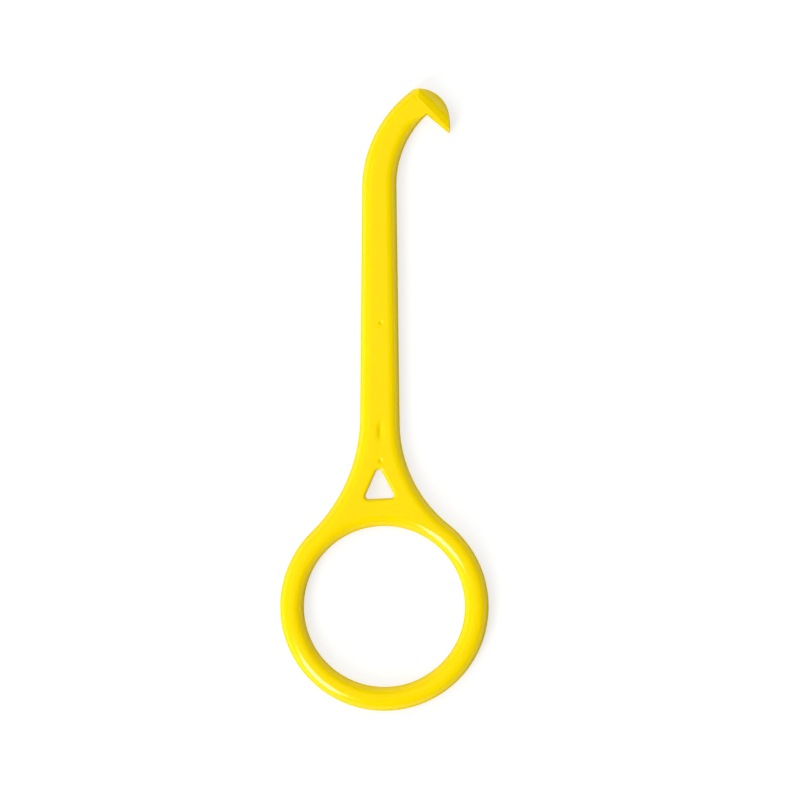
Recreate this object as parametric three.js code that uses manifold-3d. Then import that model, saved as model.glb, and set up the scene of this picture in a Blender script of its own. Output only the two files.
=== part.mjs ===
// A small hand hook that pulls a clear dental aligner off the teeth, lying flat on its back.
//
// The whole tool is one flat moulding of one thickness with rounded edges: a finger ring, a neck that flares
// out of it round a small window, a slim straight shank, a bent arm and a half-domed hook. It is divided
// where its design changes into five regions that meet face to face. X runs across the tool, Y along it
// towards the hook, and Z through its thickness. The shapes are drawn with the ring's centre at X = Y = 0.

import * as THREE from "three";
import { mergeVertices } from "three/addons/utils/BufferGeometryUtils.js";
import Module from "manifold-3d";

const wasm = await Module();
wasm.setup();

// Driving dimensions, in millimetres and radians.
const degrees = THREE.MathUtils.degToRad;
const point = (x, y) => new THREE.Vector2(x, y);

const LENGTH = 90;
const THICKNESS = 3.5;
const EDGE_WIDTH = 1.5; // how far the rounded edge reaches in over the flat faces
const EDGE_DEPTH = 1.6; // how much of the thickness it takes from each face

const RING = { centre: point(0, 0), radius: 15.1 };
const RING_BAR = 3.45; // width of the ring's bar, seen from above
const RING_BORE = { centre: RING.centre, radius: RING.radius - RING_BAR };
const NECK_START = RING.radius - 1; // the neck's region begins inside the ring's crown, under the window

const SHANK_LEFT = -3.53; // the shank's edges where the neck begins, off the ring's centre line
const SHANK_RIGHT = 2.23;
const FLARE_LEFT_RADIUS = 23.5;
const FLARE_RIGHT_RADIUS = 18.9;

const WINDOW_CORNERS = [point(-3.0, 15.5), point(1.7, 15.7), point(-0.85, 20.4)];
const WINDOW_CORNER_RADIUS = 0.45;
const WINDOW_RIM_RADIUS = 0.5;
const CUTTER_OVERRUN = 0.02; // how far the window's cutter stands out of both faces

const ARM_OUTER = { centre: point(14.5, 60.4), radius: 17.75 };
const ARM_INNER = { centre: point(15.6, 61.1), radius: 13.85 };
const ARM_END = degrees(128); // both arcs run on a little past the crook, where the arm is cut square
const ARM_RUN_ON = 4; // length of the straight end that is cut off

const CROOK_ANGLE = degrees(133); // where on the arm's inner arc the hook's face begins
const FACE_ANGLE = degrees(-40); // the face runs down from the crook to the tip
const FACE_LENGTH = 4.2;
const DOME = { along: -0.46, above: -0.99, radius: 4.18 }; // centre, measured from the crook along the face
const DOME_SHOULDER = degrees(10); // where on the dome its outline straightens towards the tip
const SHOULDER_PULL = 1.1; // how far that stretch keeps the dome's direction
const TIP_PULL = point(0.15, 1.1); // how far it comes down steeply on to the tip
const CREASE_AT_CROOK = 0.63; // the front stays flat this far above the face, then the dome falls away
const CREASE_SLOPE = -0.095;
const DOME_WIDTH = 2.8; // how far beyond the crease the falling front would meet the back
const CROWN_ANGLE = degrees(6); // the dome leaves the flat front at this angle

const OUTLINE_STEP = 1.0; // length of the flats that follow each outline
const HOOK_STEP = 0.45;
const EDGE_STEPS = 3;
const DOME_STEPS = 12;

const yellow = new THREE.MeshStandardMaterial({ color: 0xf8dd00, roughness: 0.28, metalness: 0 });

// Points along an arc from one angle to another, clockwise when the angle falls.
function arc(circle, from, to, step = OUTLINE_STEP) {
  const { centre, radius } = circle;
  const count = Math.ceil((Math.abs(to - from) * radius) / step);
  return new THREE.EllipseCurve(centre.x, centre.y, radius, radius, from, to, to < from).getPoints(count);
}

// The closed outline through the points of its stretches, each shared end kept once.
function outline(...stretches) {
  const points = stretches.flat();
  const ends = points.filter((p, i) => p.distanceTo(points.at(i - 1)) > 1e-6);
  return new THREE.Shape(ends);
}

// The point where two circles cross, on the left of the line from the first centre to the second.
function crossing(first, second) {
  const line = second.centre.clone().sub(first.centre);
  const distance = line.length();
  const along = (first.radius ** 2 - second.radius ** 2 + distance ** 2) / (2 * distance);
  const across = Math.sqrt(first.radius ** 2 - along ** 2);
  line.normalize();
  return first.centre
    .clone()
    .addScaledVector(line, along)
    .add(point(-line.y, line.x).multiplyScalar(across));
}

const angleOn = (circle, at) => at.clone().sub(circle.centre).angle();

// How far from a point, going along a direction, a circle round that point is reached.
function reachOf(circle, from, direction) {
  const offset = from.clone().sub(circle.centre);
  const nearing = offset.dot(direction);
  return Math.sqrt(nearing ** 2 - offset.lengthSq() + circle.radius ** 2) - nearing;
}

// An arc beside the neck that runs tangent to the shank's edge and to the ring. side is -1 on the left.
function flare(side, edge, radius) {
  const x = edge + side * radius;
  const y = Math.sqrt((RING.radius + radius) ** 2 - x ** 2);
  return { centre: point(x, y), radius, meetsRing: Math.atan2(y, x) };
}

const FLARE_LEFT = flare(-1, SHANK_LEFT, FLARE_LEFT_RADIUS);
const FLARE_RIGHT = flare(1, SHANK_RIGHT, FLARE_RIGHT_RADIUS);

// The arm ends square across itself at the crook, where the hook begins.
const CROOK = arc(ARM_INNER, CROOK_ANGLE, CROOK_ANGLE + 1)[0];
const acrossArm = point(Math.cos(CROOK_ANGLE), Math.sin(CROOK_ANGLE));
const alongArm = point(Math.sin(CROOK_ANGLE), -Math.cos(CROOK_ANGLE));

// The hook is measured from the crook: along its face towards the tip, and above the face.
const alongFace = point(Math.cos(FACE_ANGLE), Math.sin(FACE_ANGLE));
const aboveFace = point(-Math.sin(FACE_ANGLE), Math.cos(FACE_ANGLE));
const fromHook = (along, above) =>
  CROOK.clone().addScaledVector(alongFace, along).addScaledVector(aboveFace, above);

// A closed geometry as a manifold-3d solid, and back.
function solidOf(geometry) {
  const bare = geometry.clone();
  bare.deleteAttribute("normal");
  bare.deleteAttribute("uv");
  const merged = mergeVertices(bare);
  return new wasm.Manifold(
    new wasm.Mesh({
      numProp: 3,
      vertProperties: merged.attributes.position.array,
      triVerts: new Uint32Array(merged.index.array),
    }),
  );
}

function geometryOf(solid) {
  const { vertProperties, triVerts } = solid.getMesh();
  const indexed = new THREE.BufferGeometry();
  indexed.setAttribute("position", new THREE.BufferAttribute(vertProperties, 3));
  indexed.setIndex(new THREE.BufferAttribute(triVerts, 1));
  const geometry = indexed.toNonIndexed();
  geometry.computeVertexNormals();
  return geometry;
}

// A plate of the tool's thickness whose edges are rounded all the way round, with a narrow land between.
function roundedPlate(shape) {
  const plate = new THREE.ExtrudeGeometry(shape, {
    depth: THICKNESS - 2 * EDGE_DEPTH,
    bevelThickness: EDGE_DEPTH,
    bevelSize: EDGE_WIDTH,
    bevelOffset: -EDGE_WIDTH,
    bevelSegments: EDGE_STEPS,
  });
  return solidOf(plate.translate(0, 0, EDGE_DEPTH));
}

// Ring, neck, shank and arm in one outline. The arm runs on past the crook.
function bodyOutline() {
  const inner = arc(ARM_INNER, Math.PI, ARM_END);
  const outer = arc(ARM_OUTER, ARM_END, Math.PI);
  const onwards = point(Math.sin(ARM_END), -Math.cos(ARM_END)).multiplyScalar(ARM_RUN_ON);
  const shape = outline(
    arc(RING, FLARE_LEFT.meetsRing, FLARE_RIGHT.meetsRing + 2 * Math.PI),
    arc(FLARE_RIGHT, FLARE_RIGHT.meetsRing + Math.PI, Math.PI),
    inner,
    [inner.at(-1).clone().add(onwards)],
    [outer[0].clone().add(onwards)],
    outer,
    arc(FLARE_LEFT, 2 * Math.PI, FLARE_LEFT.meetsRing + Math.PI),
  );
  shape.holes.push(new THREE.Path(arc(RING_BORE, 0, 2 * Math.PI).slice(1).reverse()));
  return shape;
}

// A triangle with rounded corners.
function windowOutline() {
  const stretches = WINDOW_CORNERS.map((corner, i) => {
    const toPrevious = WINDOW_CORNERS.at(i - 1).clone().sub(corner).normalize();
    const toNext = WINDOW_CORNERS[(i + 1) % WINDOW_CORNERS.length].clone().sub(corner).normalize();
    const halfAngle = Math.acos(toPrevious.dot(toNext)) / 2;
    const inwards = toPrevious.clone().add(toNext).normalize();
    const centre = corner.clone().addScaledVector(inwards, WINDOW_CORNER_RADIUS / Math.sin(halfAngle));
    const start = Math.atan2(-toPrevious.x, toPrevious.y) + Math.PI;
    const circle = { centre, radius: WINDOW_CORNER_RADIUS };
    return arc(circle, start, start + Math.PI - 2 * halfAngle, WINDOW_CORNER_RADIUS / 2);
  });
  return outline(...stretches);
}

// The window's cutter widens towards both faces, which leaves the window a rounded rim.
function windowCutter() {
  const cutter = new THREE.ExtrudeGeometry(windowOutline(), {
    depth: THICKNESS + 2 * (CUTTER_OVERRUN - WINDOW_RIM_RADIUS),
    bevelThickness: WINDOW_RIM_RADIUS,
    bevelSize: -WINDOW_RIM_RADIUS,
    bevelOffset: WINDOW_RIM_RADIUS,
    bevelSegments: EDGE_STEPS,
  });
  return solidOf(cutter.translate(0, 0, WINDOW_RIM_RADIUS - CUTTER_OVERRUN));
}

// The hook seen from above: its face, then over the dome to the corner where it meets the arm's back, and
// down that back to the arm's end.
function hookOutline() {
  const dome = { centre: fromHook(DOME.along, DOME.above), radius: DOME.radius };
  const corner = crossing(dome, ARM_OUTER);
  const foot = CROOK.clone().addScaledVector(acrossArm, reachOf(ARM_OUTER, CROOK, acrossArm));
  const shoulder = arc(dome, DOME_SHOULDER, DOME_SHOULDER + 1)[0];
  const heading = point(Math.sin(DOME_SHOULDER), -Math.cos(DOME_SHOULDER));
  const tip = fromHook(FACE_LENGTH, 0);
  const tipEnd = new THREE.CubicBezierCurve(
    tip,
    tip.clone().add(TIP_PULL),
    shoulder.clone().addScaledVector(heading, SHOULDER_PULL),
    shoulder,
  );
  return outline(
    [CROOK],
    tipEnd.getPoints(Math.ceil(tip.distanceTo(shoulder) / HOOK_STEP)),
    arc(dome, DOME_SHOULDER, angleOn(dome, corner), HOOK_STEP),
    arc(ARM_OUTER, angleOn(ARM_OUTER, corner), angleOn(ARM_OUTER, foot), HOOK_STEP),
  );
}

// Everything under the hook's front: level up to the crease, then a quarter round that falls to the back.
// The block is longer than the hook and stands clear of its flat faces.
function underTheDome() {
  const clear = 3 * FACE_LENGTH;
  const rounding = [];
  for (let i = 0; i <= DOME_STEPS; i += 1) {
    const turn = CROWN_ANGLE + (i / DOME_STEPS) * (Math.PI / 2 - CROWN_ANGLE);
    const beyond = (Math.sin(turn) - Math.sin(CROWN_ANGLE)) / (1 - Math.sin(CROWN_ANGLE));
    rounding.push(point(DOME_WIDTH * beyond, (THICKNESS * Math.cos(turn)) / Math.cos(CROWN_ANGLE)));
  }
  const foot = [point(DOME_WIDTH, -clear), point(-clear, -clear)];
  const profile = new THREE.Shape([point(-clear, 2 * THICKNESS), ...rounding, ...foot]);
  const block = new THREE.ExtrudeGeometry(profile, { depth: 2 * clear, bevelEnabled: false });

  const creaseAngle = FACE_ANGLE + Math.atan(CREASE_SLOPE);
  const alongCrease = new THREE.Vector3(Math.cos(creaseAngle), Math.sin(creaseAngle), 0);
  const beyondCrease = new THREE.Vector3(-alongCrease.y, alongCrease.x, 0);
  const up = new THREE.Vector3(0, 0, 1);
  const start = fromHook(0, CREASE_AT_CROOK);
  const place = new THREE.Matrix4().makeBasis(beyondCrease, up, alongCrease).setPosition(start.x, start.y, 0);
  return solidOf(block.translate(0, 0, -clear).applyMatrix4(place));
}

// The half dome: the hook's outline carried up through the thickness, under that falling front.
function domedHook() {
  const column = new THREE.ExtrudeGeometry(hookOutline(), { depth: THICKNESS, bevelEnabled: false });
  return solidOf(column).intersect(underTheDome());
}

// A disc inside the arm's back with the same rounded edge, so that the hook carries that edge on.
function armBackDisc() {
  const edge = [];
  for (let i = 0; i <= EDGE_STEPS; i += 1) {
    const turn = (i / EDGE_STEPS) * (Math.PI / 2);
    edge.push(point(ARM_OUTER.radius - EDGE_WIDTH * (1 - Math.sin(turn)), EDGE_DEPTH * (1 - Math.cos(turn))));
  }
  const otherEdge = edge.map((p) => point(p.x, THICKNESS - p.y)).reverse();
  const profile = [point(0, 0), ...edge, ...otherEdge, point(0, THICKNESS)];
  const sides = Math.ceil((2 * Math.PI * ARM_OUTER.radius) / OUTLINE_STEP);
  const disc = new THREE.LatheGeometry(profile, sides).rotateX(Math.PI / 2);
  return solidOf(disc.translate(ARM_OUTER.centre.x, ARM_OUTER.centre.y, 0));
}

// Cut one solid into regions along Y, from the ring's end to the hook's.
function regionsAlong(solid, cuts) {
  const regions = [];
  let rest = solid;
  for (const y of cuts) {
    const [beyond, region] = rest.splitByPlane([0, 1, 0], y);
    regions.push(region);
    rest = beyond;
  }
  return [...regions, rest];
}

function makeTool() {
  const plate = roundedPlate(bodyOutline()).subtract(windowCutter());
  const [, body] = plate.splitByPlane([alongArm.x, alongArm.y, 0], CROOK.dot(alongArm));
  const cuts = [NECK_START, FLARE_LEFT.centre.y, ARM_OUTER.centre.y];
  const [ring, neck, shank, arm] = regionsAlong(body, cuts);
  const hook = domedHook().intersect(armBackDisc());

  const tool = new THREE.Group();
  const solids = { finger_ring: ring, neck, shank, hook_arm: arm, hook_tip: hook };
  for (const [name, solid] of Object.entries(solids)) {
    const mesh = new THREE.Mesh(geometryOf(solid), yellow);
    mesh.name = name;
    tool.add(mesh);
  }
  tool.position.y = RING.radius - LENGTH / 2; // the origin is under the middle of the whole tool
  return tool;
}

export default makeTool();
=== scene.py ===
import math
from collections import namedtuple

import bmesh
import bpy
import numpy as np
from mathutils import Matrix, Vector
from mathutils.geometry import delaunay_2d_cdt


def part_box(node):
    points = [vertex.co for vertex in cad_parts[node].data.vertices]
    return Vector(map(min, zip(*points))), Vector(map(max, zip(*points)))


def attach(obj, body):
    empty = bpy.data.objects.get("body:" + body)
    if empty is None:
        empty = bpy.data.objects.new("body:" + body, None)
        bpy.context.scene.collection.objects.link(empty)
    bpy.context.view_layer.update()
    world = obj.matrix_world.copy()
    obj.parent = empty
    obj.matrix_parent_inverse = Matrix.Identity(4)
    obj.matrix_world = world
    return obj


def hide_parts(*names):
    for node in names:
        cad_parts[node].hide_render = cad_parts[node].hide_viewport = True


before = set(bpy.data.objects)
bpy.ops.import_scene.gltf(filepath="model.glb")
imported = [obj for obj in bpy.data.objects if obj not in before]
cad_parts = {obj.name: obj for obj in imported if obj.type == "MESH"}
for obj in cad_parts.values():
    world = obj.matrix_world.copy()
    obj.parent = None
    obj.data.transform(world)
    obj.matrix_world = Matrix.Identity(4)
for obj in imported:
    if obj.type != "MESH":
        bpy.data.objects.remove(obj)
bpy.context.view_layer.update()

# Sizes that the frame gives, in metres. The tool lies flat on its back: X across it, Y along it, and Z
# through it.
MM = 0.001
ring_low, ring_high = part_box("finger_ring")
shank_low, shank_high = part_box("shank")
THICKNESS = ring_high.z - ring_low.z
RING_RADIUS = (ring_high.x - ring_low.x) / 2
RING_CENTRE = np.array([0.0, ring_low.y + RING_RADIUS])

Circle = namedtuple("Circle", "centre radius")


def from_ring(x, y):
    """A point given in millimetres from the ring's centre."""
    return RING_CENTRE + np.array([x, y]) * MM


def direction(angle):
    return np.array([math.cos(angle), math.sin(angle)])


def unit(vector):
    return vector / np.linalg.norm(vector)


# The outline: ring, two flares, a straight shank, a bent arm and the hook.
RING_BAR = 3.45 * MM  # width of the ring's bar, seen from above
RING = Circle(RING_CENTRE, RING_RADIUS)
BORE = Circle(RING_CENTRE, RING_RADIUS - RING_BAR)
FLARE_LEFT_RADIUS = 23.5 * MM
FLARE_RIGHT_RADIUS = 18.9 * MM
ARM_OUTER = Circle(from_ring(14.5, 60.4), 17.75 * MM)
ARM_INNER = Circle(from_ring(15.6, 61.1), 13.85 * MM)
WINDOW_CORNERS = [from_ring(-0.85, 20.4), from_ring(1.7, 15.7), from_ring(-3.0, 15.5)]  # clockwise
WINDOW_CORNER_RADIUS = 0.45 * MM

# The hook is measured from the crook: along its face towards the tip, and above the face.
CROOK_ANGLE = math.radians(133)
FACE_ANGLE = math.radians(-40)
FACE_LENGTH = 4.25 * MM
DOME_CENTRE = np.array([-0.46, -0.99]) * MM
DOME_RADIUS = 4.18 * MM
DOME_SHOULDER = math.radians(10)  # where on the dome its outline straightens towards the tip
SHOULDER_PULL = 1.1 * MM
TIP_PULL = np.array([0.15, 1.1]) * MM
CREASE_AT_CROOK = 0.63 * MM  # the front stays flat this far above the face
CREASE_SLOPE = -0.095
CREASE_BEND = 1.2 * MM  # over this length the crease turns up to the corner of the outline
DOME_WIDTH = 2.8 * MM  # how far beyond the crease the falling front would meet the back
CROWN_ANGLE = math.radians(6)  # the dome leaves the flat front at this angle
DOME_RIM = 0.3 * MM  # the rounding round the dome's outline
RIDGE_WIDTH = 0.32 * MM  # a low ridge runs along the crease
RIDGE_HEIGHT = 0.04 * MM
TIP_SLANT = 1.26  # the crease crosses the tip's end at a slant, so its last stretch is this much longer

# Rounded edges.
EDGE_WIDTH = 1.6 * MM  # how far the rounding reaches in over the front and the back
CRISP_WIDTH = 0.1 * MM  # the same at the hook's face and tip
CRISP_FADE = 3.0 * MM  # length of arm over which the rounding narrows towards the crook
PARTING_LAND = 0.3 * MM  # the flat band round the middle of the thickness
WINDOW_RIM = 0.5 * MM

Mark = namedtuple("Mark", "centre half_width half_length depth")
MARKS = [
    Mark(from_ring(-0.49, 41.0), 0.48 * MM, 0.48 * MM, 0.15 * MM),  # a small round dip on the shank
    Mark(from_ring(-0.55, 25.4), 0.75 * MM, 1.9 * MM, 0.24 * MM),  # a long soft dip over the neck
    Mark(from_ring(-0.55, 21.1), 0.5 * MM, 0.6 * MM, 0.15 * MM),  # a small dip over the window
]
MARK_SIDES = 32
MARK_ROWS = 8
RIDGE_ROWS = 6

# Fineness of the mesh.
STEP = 0.4 * MM
HOOK_STEP = 0.15 * MM
ROWS = 10
DOME_SAMPLES = 200
TIP_SAMPLES = 100
FLAT_MARGIN = 0.06 * MM  # a first row of flat faces round each flat keeps smooth shading to its edge
WELD = 0.0001 * MM
SHARP_ANGLE = math.radians(40)
FILL_INSIDE = 1

# The yellow plastic. Noise scales are per metre.
IOR = 1.5
SUBSURFACE_WEIGHT = 0.25
SUBSURFACE_RADIUS = (1.0, 0.6, 0.1)
SUBSURFACE_SCALE = 0.8 * MM
TINTS = [(0.3, (0.765, 0.565, 0.0, 1)), (0.7, (0.775, 0.58, 0.0, 1))]
TINT_NOISE = {"Scale": 120.0, "Detail": 2.0}
ROUGHNESS = (0.1, 0.19)
ROUGHNESS_NOISE = {"Scale": 900.0, "Detail": 4.0}
FACING_BLEND = 0.5
FACING_FADE = (0.25, 0.55)  # from the first to the second, the reflection fades to nothing
SPECULAR_LEVEL = 0.5
SWELL_NOISE = {"Scale": 350.0, "Detail": 1.0}
SWELL_STRENGTH = 0.12
SWELL_HEIGHT = 0.02 * MM

# The studio, in metres.
FLOOR_RADIUS = 1.2
SWEEP_RADIUS = 0.5
SWEEP_TURNS = [math.radians(5 * i) for i in range(19)]  # a quarter turn up from the floor
FLOOR_SIDES = 96
FLOOR_WELD = 0.0001
FLOOR_GAP = 0.02 * MM
PAPER_COLOUR = (0.25, 0.25, 0.25)
PAPER_ROUGHNESS = 0.9
PAPER_GLOW = 0.7
WORLD_COLOUR = (0.02, 0.02, 0.02, 1)
LIGHT_DISTANCE = 1.0
# Azimuth and elevation in degrees, width and height in metres, and radiance.
SOFTBOX = (231, 43, 0.36, 0.6, 11.5)
FILL = (138, 68, 1.0, 1.0, 3.6)
CAMERA_LENS = 200
CAMERA_SENSOR = 36
CAMERA_CLIP = (0.01, 10)
PICTURE_WIDTH = 115.85 * MM
PICTURE_CENTRE = (2.26 * MM, 0.0)

CROOK = ARM_INNER.centre + ARM_INNER.radius * direction(CROOK_ANGLE)
ALONG_FACE = direction(FACE_ANGLE)
ABOVE_FACE = direction(FACE_ANGLE + math.pi / 2)


def from_hook(along, above):
    """Points in the plan from their places along the hook's face and above it."""
    return CROOK + np.multiply.outer(along, ALONG_FACE) + np.multiply.outer(above, ABOVE_FACE)


def to_hook(place):
    return np.array([(place - CROOK) @ ALONG_FACE, (place - CROOK) @ ABOVE_FACE])


# A run is a stretch of rounded edge: its outline, where the rounding meets the flat, and a point just past
# that. It leaves out its end, where the next run begins.
Run = namedtuple("Run", "outline inner margin")


def run(outline, inwards, width):
    return Run(outline, outline + inwards * width, outline + inwards * (width + FLAT_MARGIN))


def arc_run(circle, start, end, inwards, width=EDGE_WIDTH, step=STEP):
    """An arc's run. inwards is -1 where the plastic lies towards the centre, and 1 where it lies outside."""
    count = math.ceil(abs(end - start) * circle.radius / step)
    angles = np.linspace(start, end, count, endpoint=False)
    out = np.column_stack([np.cos(angles), np.sin(angles)])
    return run(circle.centre + circle.radius * out, inwards * out, width)


def narrowing(edge, place):
    """The same run, its rounding narrowing to a crisp edge as it nears a place."""
    share = np.clip(np.linalg.norm(edge.outline - place, axis=1) / CRISP_FADE, 0, 1)
    widths = CRISP_WIDTH + (EDGE_WIDTH - CRISP_WIDTH) * share**2 * (3 - 2 * share)
    return run(edge.outline, (edge.inner - edge.outline) / EDGE_WIDTH, widths[:, None])


def line_run(start, end, width=EDGE_WIDTH):
    """A straight run, with the plastic on its left."""
    length = np.linalg.norm(end - start)
    shares = np.linspace(0, 1, math.ceil(length / STEP), endpoint=False)[:, None]
    left = np.array([start[1] - end[1], end[0] - start[0]]) / length
    return run(start + shares * (end - start), np.tile(left, (len(shares), 1)), width)


def joined(*runs):
    return Run(*(np.concatenate(parts) for parts in zip(*runs)))


def flare(side, edge, radius):
    """The arc beside the neck, tangent to the shank and the ring, and its angle seen from the ring."""
    x = edge + side * radius
    y = math.sqrt((RING_RADIUS + radius) ** 2 - x**2)
    return Circle(RING_CENTRE + np.array([x, y]), radius), math.atan2(y, x)


def crossing(first, second):
    """Where two circles cross, on the left of the line from the first centre to the second."""
    line = second.centre - first.centre
    distance = np.linalg.norm(line)
    line = line / distance
    along = (first.radius**2 - second.radius**2 + distance**2) / (2 * distance)
    across = math.sqrt(first.radius**2 - along**2)
    return first.centre + along * line + across * np.array([-line[1], line[0]])


def dome_outline():
    """The hook's outline over the dome and down to the tip, as places along and above its face."""
    dome = Circle(from_hook(*DOME_CENTRE), DOME_RADIUS)
    corner = crossing(dome, ARM_OUTER)
    start = math.atan2(*(corner - dome.centre)[::-1])
    angles = np.linspace(start, DOME_SHOULDER, DOME_SAMPLES)
    over = dome.centre + dome.radius * np.column_stack([np.cos(angles), np.sin(angles)])
    tip = from_hook(FACE_LENGTH, 0)
    heading = np.array([math.sin(DOME_SHOULDER), -math.cos(DOME_SHOULDER)])
    pulls = [over[-1], over[-1] + SHOULDER_PULL * heading, tip + TIP_PULL, tip]
    t = np.linspace(0, 1, TIP_SAMPLES)[1:]
    weights = [(1 - t) ** 3, 3 * t * (1 - t) ** 2, 3 * t**2 * (1 - t), t**3]
    down = sum(np.multiply.outer(w, p) for w, p in zip(weights, pulls))
    places = np.concatenate([over, down])
    return np.array([to_hook(p) for p in places])


DOME_OUTLINE = dome_outline()


def reach(along):
    return np.interp(along, DOME_OUTLINE[:, 0], DOME_OUTLINE[:, 1])


def crease(along):
    """How far above the face the crease is. It bends up to where the dome meets the arm's back."""
    corner = DOME_OUTLINE[0]
    rise = corner[1] - (CREASE_AT_CROOK + CREASE_SLOPE * corner[0])
    near = np.clip(1 - (along - corner[0]) / CREASE_BEND, 0, 1)
    return CREASE_AT_CROOK + CREASE_SLOPE * along + rise * near**2


TURNS = np.linspace(math.pi / 2, 0, ROWS + 1)
HALF = THICKNESS / 2
LOW = PARTING_LAND / 2


def with_heights(plan, heights):
    return np.concatenate([plan, np.broadcast_to(heights, plan.shape[:-1])[..., None]], axis=-1)


def crease_points():
    """The crease, with its height over mid-thickness. It comes up the arm's rounded back, stays level with
    the front and goes down over the tip."""
    start = DOME_OUTLINE[0, 0]
    down = DOME_OUTLINE[:0:-1]
    end = np.interp(0, down[:, 1] - crease(down[:, 0]), down[:, 0])
    rising = start + EDGE_WIDTH * (1 - np.sin(TURNS))
    falling = end - TIP_SLANT * CRISP_WIDTH * (1 - np.sin(TURNS))
    first_level = rising[-1] + FLAT_MARGIN
    last_level = falling[-1] - FLAT_MARGIN
    count = math.ceil((last_level - first_level) / HOOK_STEP) + 1
    along = np.concatenate([rising, np.linspace(first_level, last_level, count), falling[::-1]])
    climb = LOW + (HALF - LOW) * np.cos(TURNS)
    heights = np.concatenate([climb, np.full(count, HALF), climb[::-1]])
    return along, heights


def rounded_to_flat(edge, low=LOW):
    """A run's rounded edge as columns of points, each from the outline up to the first row of the flat."""
    plan = edge.inner[:, None] + (edge.outline - edge.inner)[:, None] * np.sin(TURNS)[None, :, None]
    margin = with_heights(edge.margin, HALF)[:, None]
    return np.concatenate([with_heights(plan, low + (HALF - low) * np.cos(TURNS)), margin], axis=1)


def crook_run():
    angles = np.linspace(CROOK_ANGLE, FACE_ANGLE + math.pi / 2, ROWS)
    inwards = np.column_stack([np.cos(angles), np.sin(angles)])
    return run(np.tile(CROOK, (ROWS, 1)), inwards, CRISP_WIDTH)


def tip_runs():
    """The hook's straight face, and the small rounding of its tip."""
    tip = from_hook(FACE_LENGTH, 0)
    along, _ = crease_points()
    end = from_hook(along[-1], crease(along[-1]))
    up = unit(end - tip)
    half_angle = math.acos(-up @ ALONG_FACE) / 2
    middle = unit(up - ALONG_FACE)
    centre = tip + middle * CRISP_WIDTH / math.sin(half_angle)
    mitre = tip + middle * (CRISP_WIDTH + FLAT_MARGIN) / math.sin(half_angle)
    start = FACE_ANGLE - math.pi / 2
    angles = np.linspace(start, start + math.pi - 2 * half_angle, ROWS)
    rim = centre + CRISP_WIDTH * np.column_stack([np.cos(angles), np.sin(angles)])
    face_end = mitre - ABOVE_FACE * (CRISP_WIDTH + FLAT_MARGIN)
    corner = Run(rim, np.tile(centre, (ROWS, 1)), np.tile(mitre, (ROWS, 1)))
    return [line_run(CROOK, face_end, CRISP_WIDTH), corner]


def body_edge():
    """The rounded edge of everything but the dome: from the arm's back down the shank, round the ring, up
    to the crook and out to the tip. Its first and last columns are the two ends of the crease."""
    corner = from_hook(*DOME_OUTLINE[0]) - ARM_OUTER.centre
    left, left_meets = flare(-1, shank_low.x, FLARE_LEFT_RADIUS)
    right, right_meets = flare(1, shank_high.x, FLARE_RIGHT_RADIUS)
    outer_foot = ARM_OUTER.centre - [ARM_OUTER.radius, 0]
    inner_foot = ARM_INNER.centre - [ARM_INNER.radius, 0]
    edge = joined(
        arc_run(ARM_OUTER, math.atan2(corner[1], corner[0]), math.pi, -1),
        line_run(outer_foot, left.centre + [left.radius, 0]),
        arc_run(left, 0, left_meets - math.pi, 1),
        arc_run(RING, left_meets, right_meets + 2 * math.pi, -1),
        arc_run(right, right_meets + math.pi, math.pi, 1),
        line_run(right.centre - [right.radius, 0], inner_foot),
        narrowing(arc_run(ARM_INNER, math.pi, CROOK_ANGLE, 1), CROOK),
        crook_run(),
        *tip_runs(),
    )
    along, heights = crease_points()
    line = with_heights(from_hook(along, crease(along)), heights)
    first = line[None, : ROWS + 2]
    last = line[None, : -ROWS - 3 : -1]
    return np.concatenate([first, rounded_to_flat(edge)[1:], last])


def dome_height(beyond):
    """How high over mid-thickness the front is, this far beyond the crease, as it falls to the back."""
    turn = np.arcsin(math.sin(CROWN_ANGLE) + beyond / DOME_WIDTH * (1 - math.sin(CROWN_ANGLE)))
    return THICKNESS * np.cos(turn) / math.cos(CROWN_ANGLE) - HALF


def dome_edges():
    """The half dome's front and back, each as columns from its outline in to the crease."""
    along, heights = crease_points()
    width = np.maximum(reach(along) - crease(along), 0)[:, None]
    ridge = np.minimum(RIDGE_WIDTH, width / 2)
    over_ridge = np.linspace(1, 0, RIDGE_ROWS + 1)
    beyond = np.concatenate([ridge + (width - ridge) * np.sin(TURNS[:-1]), ridge * over_ridge], axis=1)
    above = crease(along)[:, None] + beyond
    plan = from_hook(np.broadcast_to(along[:, None], above.shape), above)
    rim = np.maximum(np.minimum(DOME_RIM, width), WELD)
    near = np.clip(1 - (width - beyond) / rim, 0, 1)
    rounding = np.minimum(DOME_RIM, width) * (1 - np.sqrt(1 - near**2))
    back = heights[:, None] - rounding
    front = np.minimum(heights[:, None], dome_height(beyond)) - rounding
    lift = RIDGE_HEIGHT * ridge / RIDGE_WIDTH * np.sin(math.pi * over_ridge) ** 2
    front[:, -len(over_ridge) :] += lift
    return with_heights(plan, front), with_heights(plan, back)


def crease_margin():
    """A first row of flat faces along the crease."""
    along, _ = crease_points()
    along = along[ROWS + 1 : -ROWS - 1]
    drop = np.full(len(along), FLAT_MARGIN)
    drop[[0, -1]] = 0
    rows = [from_hook(along, crease(along)), from_hook(along, crease(along) - drop)]
    return with_heights(np.stack(rows, axis=1), HALF)


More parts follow.
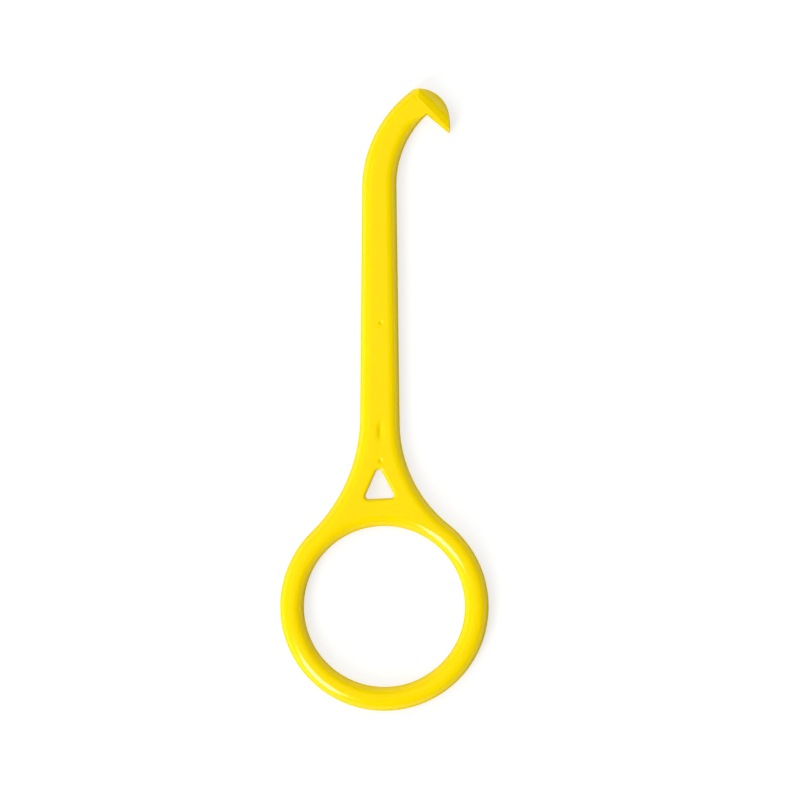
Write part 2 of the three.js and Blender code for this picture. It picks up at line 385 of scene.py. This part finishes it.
def window_edge():
    """A triangle with rounded corners, its plastic outside it."""
    runs = []
    for i, corner in enumerate(WINDOW_CORNERS):
        before = unit(WINDOW_CORNERS[i - 1] - corner)
        after = unit(WINDOW_CORNERS[(i + 1) % len(WINDOW_CORNERS)] - corner)
        half_angle = math.acos(before @ after) / 2
        middle = unit(before + after)
        circle = Circle(corner + middle * WINDOW_CORNER_RADIUS / math.sin(half_angle), WINDOW_CORNER_RADIUS)
        out = math.atan2(-middle[1], -middle[0])
        spread = math.pi / 2 - half_angle
        arc = arc_run(circle, out + spread, out - spread, 1, WINDOW_RIM, HOOK_STEP)
        if runs:
            runs.append(line_run(side_start, arc.outline[0], WINDOW_RIM))
        runs.append(arc)
        side_start = corner + after * WINDOW_CORNER_RADIUS / math.tan(half_angle)
    runs.append(line_run(side_start, runs[0].outline[0], WINDOW_RIM))
    return rounded_to_flat(joined(*runs), HALF - WINDOW_RIM)


def bore_edge():
    return rounded_to_flat(arc_run(BORE, 2 * math.pi, 0, 1))


def mark_columns(mark):
    """A shallow round or oval dip, as columns from its rim to its middle."""
    angles = np.linspace(0, 2 * math.pi, MARK_SIDES, endpoint=False)
    shares = np.linspace(1, 0, MARK_ROWS + 1)
    rim = np.column_stack([np.cos(angles) * mark.half_width, np.sin(angles) * mark.half_length])
    plan = mark.centre + np.multiply.outer(rim, shares).transpose(0, 2, 1)
    return with_heights(plan, HALF - mark.depth * (0.5 + 0.5 * np.cos(math.pi * shares)))


def add_sheet(bm, columns, side, closed):
    """Faces through columns of points, on the front with side 1 or the back with side -1."""
    corners = [[bm.verts.new((x, y, HALF + side * z)) for x, y, z in column] for column in columns]
    following = corners[1:] + (corners[:1] if closed else [])
    for here, beyond in zip(corners, following):
        for k in range(len(here) - 1):
            bm.faces.new((here[k], beyond[k], beyond[k + 1], here[k + 1]))


def add_flat(bm, loops, side):
    """The flat front or back: what is inside the first loop and outside the others, which are its holes.
    All the loops run counter-clockwise."""
    ends = np.cumsum([len(loop) for loop in loops])
    faces = [list(range(end - len(loop), end)) for loop, end in zip(loops, ends)]
    places = [Vector(place / MM) for place in np.concatenate(loops)]
    points, _, triangles, _, _, inside = delaunay_2d_cdt(places, [], faces, FILL_INSIDE, WELD / MM)
    corners = [bm.verts.new((*(point * MM), HALF + side * HALF)) for point in points]
    for triangle, holders in zip(triangles, inside):
        if holders == [0]:
            bm.faces.new([corners[i] for i in triangle])


def add_edge(bm, front, back, closed):
    """A rounded edge's front and back, and the upright band between their first points."""
    add_sheet(bm, front, 1, closed)
    add_sheet(bm, back, -1, closed)
    band = np.stack([back[:, 0] * [1, 1, -1], front[:, 0]], axis=1)
    add_sheet(bm, band, 1, closed)


def moulding_mesh():
    """The whole moulding as one closed mesh. The marks are on the front only."""
    body, bore, window = body_edge(), bore_edge(), window_edge()
    margin = crease_margin()
    marks = [mark_columns(mark) for mark in MARKS]
    outer = np.concatenate([body[:, -1, :2], margin[::-1][1:-1, -1, :2]])
    holes = [sheet[::-1, -1, :2] for sheet in (bore, window)]
    bm = bmesh.new()
    add_edge(bm, body, body, False)
    add_edge(bm, *dome_edges(), False)
    add_edge(bm, bore, bore, True)
    add_edge(bm, window, window, True)
    for side in (1, -1):
        add_sheet(bm, margin, side, False)
    for mark in marks:
        add_sheet(bm, mark, 1, True)
    add_flat(bm, [outer, *holes, *(mark[:, 0, :2] for mark in marks)], 1)
    add_flat(bm, [outer, *holes], -1)
    bmesh.ops.remove_doubles(bm, verts=bm.verts, dist=WELD)
    bmesh.ops.recalc_face_normals(bm, faces=bm.faces)
    mesh = bpy.data.meshes.new("aligner_hook_moulding")
    bm.to_mesh(mesh)
    bm.free()
    mesh.shade_smooth()
    mesh.set_sharp_from_angle(angle=SHARP_ANGLE)
    return mesh


def node(tree, kind, **settings):
    made = tree.nodes.new(kind)
    for name, value in settings.items():
        if name in made.inputs:
            made.inputs[name].default_value = value
        else:
            setattr(made, name, value)
    return made


def noise(tree, place, settings):
    made = node(tree, "ShaderNodeTexNoise", **settings)
    tree.links.new(place, made.inputs["Vector"])
    return made.outputs["Fac"]


def map_range(tree, value, before, after):
    """A value taken from one range to another."""
    made = tree.nodes.new("ShaderNodeMapRange")
    limits = {"From Min": before[0], "From Max": before[1], "To Min": after[0], "To Max": after[1]}
    for name, limit in limits.items():
        made.inputs[name].default_value = limit
    tree.links.new(value, made.inputs["Value"])
    return made.outputs["Result"]


def yellow_plastic():
    """Glossy yellow moulded plastic, very slightly uneven in colour, gloss and surface. Its reflection fades
    where it is seen at a glance. A real plastic's grows there, which would whiten the dark rims."""
    material = bpy.data.materials.new("yellow_plastic")
    material.use_nodes = True
    tree = material.node_tree
    shader = tree.nodes["Principled BSDF"]
    shader.inputs["IOR"].default_value = IOR
    shader.inputs["Subsurface Weight"].default_value = SUBSURFACE_WEIGHT
    shader.inputs["Subsurface Radius"].default_value = SUBSURFACE_RADIUS
    shader.inputs["Subsurface Scale"].default_value = SUBSURFACE_SCALE
    place = tree.nodes.new("ShaderNodeTexCoord").outputs["Object"]

    tint = tree.nodes.new("ShaderNodeValToRGB")
    for element, (position, colour) in zip(tint.color_ramp.elements, TINTS):
        element.position = position
        element.color = colour
    tree.links.new(noise(tree, place, TINT_NOISE), tint.inputs["Fac"])
    tree.links.new(tint.outputs["Color"], shader.inputs["Base Color"])

    roughness = map_range(tree, noise(tree, place, ROUGHNESS_NOISE), (0, 1), ROUGHNESS)
    tree.links.new(roughness, shader.inputs["Roughness"])

    facing = node(tree, "ShaderNodeLayerWeight", Blend=FACING_BLEND).outputs["Facing"]
    sheen = map_range(tree, facing, FACING_FADE, (SPECULAR_LEVEL, 0))
    tree.links.new(sheen, shader.inputs["Specular IOR Level"])

    waves = node(tree, "ShaderNodeBump", Strength=SWELL_STRENGTH, Distance=SWELL_HEIGHT)
    tree.links.new(noise(tree, place, SWELL_NOISE), waves.inputs["Height"])
    tree.links.new(waves.outputs["Normal"], shader.inputs["Normal"])
    return material


def moulding():
    piece = bpy.data.objects.new("aligner_hook_moulding", moulding_mesh())
    bpy.context.scene.collection.objects.link(piece)
    piece.data.materials.append(yellow_plastic())
    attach(piece, "root")
    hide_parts("finger_ring", "neck", "shank", "hook_arm", "hook_tip")


def plain(name, colour, roughness):
    material = bpy.data.materials.new(name)
    material.use_nodes = True
    shader = material.node_tree.nodes["Principled BSDF"]
    shader.inputs["Base Color"].default_value = (*colour, 1)
    shader.inputs["Roughness"].default_value = roughness
    shader.inputs["Specular IOR Level"].default_value = 0.0
    return material


def studio_floor():
    """A pale round floor that sweeps up into a wall all round, open above."""
    profile = [(0.0, 0.0)]
    for turn in SWEEP_TURNS:
        outwards = FLOOR_RADIUS + SWEEP_RADIUS * math.sin(turn)
        profile.append((outwards, SWEEP_RADIUS * (1 - math.cos(turn))))
    bm = bmesh.new()
    corners = [bm.verts.new((radius, 0, height)) for radius, height in profile]
    edges = [bm.edges.new(pair) for pair in zip(corners, corners[1:])]
    bmesh.ops.spin(bm, geom=edges, angle=2 * math.pi, steps=FLOOR_SIDES, axis=(0, 0, 1), cent=(0, 0, 0))
    bmesh.ops.remove_doubles(bm, verts=bm.verts, dist=FLOOR_WELD)
    bmesh.ops.recalc_face_normals(bm, faces=bm.faces)
    mesh = bpy.data.meshes.new("studio_floor")
    bm.to_mesh(mesh)
    bm.free()
    mesh.shade_smooth()
    floor = bpy.data.objects.new("studio_floor", mesh)
    bpy.context.scene.collection.objects.link(floor)
    floor.location.z = -FLOOR_GAP
    paper = plain("studio_paper", PAPER_COLOUR, PAPER_ROUGHNESS)
    glow = paper.node_tree.nodes["Principled BSDF"].inputs
    glow["Emission Color"].default_value = (1, 1, 1, 1)
    glow["Emission Strength"].default_value = PAPER_GLOW
    floor.data.materials.append(paper)


def softbox(name, azimuth, elevation, width, height, radiance):
    """An area light LIGHT_DISTANCE away, facing the tool. Azimuth is counter-clockwise from +X."""
    light = bpy.data.lights.new(name, "AREA")
    light.shape = "RECTANGLE"
    light.size = width
    light.size_y = height
    light.energy = radiance * math.pi * width * height
    lamp = bpy.data.objects.new(name, light)
    bpy.context.scene.collection.objects.link(lamp)
    flat = direction(math.radians(azimuth)) * math.cos(math.radians(elevation))
    lamp.location = LIGHT_DISTANCE * Vector((*flat, math.sin(math.radians(elevation))))
    lamp.rotation_euler = lamp.location.to_track_quat("Z", "Y").to_euler()
    return lamp


def studio_lights():
    """A softbox, which makes the one highlight, and a broad fill that is left out of reflections."""
    softbox("lower_left_softbox", *SOFTBOX)
    fill = softbox("upper_left_fill", *FILL)
    fill.visible_glossy = False
    world = bpy.data.worlds.new("studio_dark")
    world.use_nodes = True
    world.node_tree.nodes["Background"].inputs["Color"].default_value = WORLD_COLOUR
    bpy.context.scene.world = world
    bpy.context.scene.view_settings.view_transform = "Standard"


def camera():
    """Straight above, with +Y up the picture."""
    data = bpy.data.cameras.new("camera")
    data.lens = CAMERA_LENS
    data.sensor_width = CAMERA_SENSOR
    data.clip_start, data.clip_end = CAMERA_CLIP
    view = bpy.data.objects.new("camera", data)
    bpy.context.scene.collection.objects.link(view)
    view.location = (*PICTURE_CENTRE, HALF + PICTURE_WIDTH * CAMERA_LENS / CAMERA_SENSOR)
    bpy.context.scene.camera = view


moulding()
studio_floor()
studio_lights()
camera()
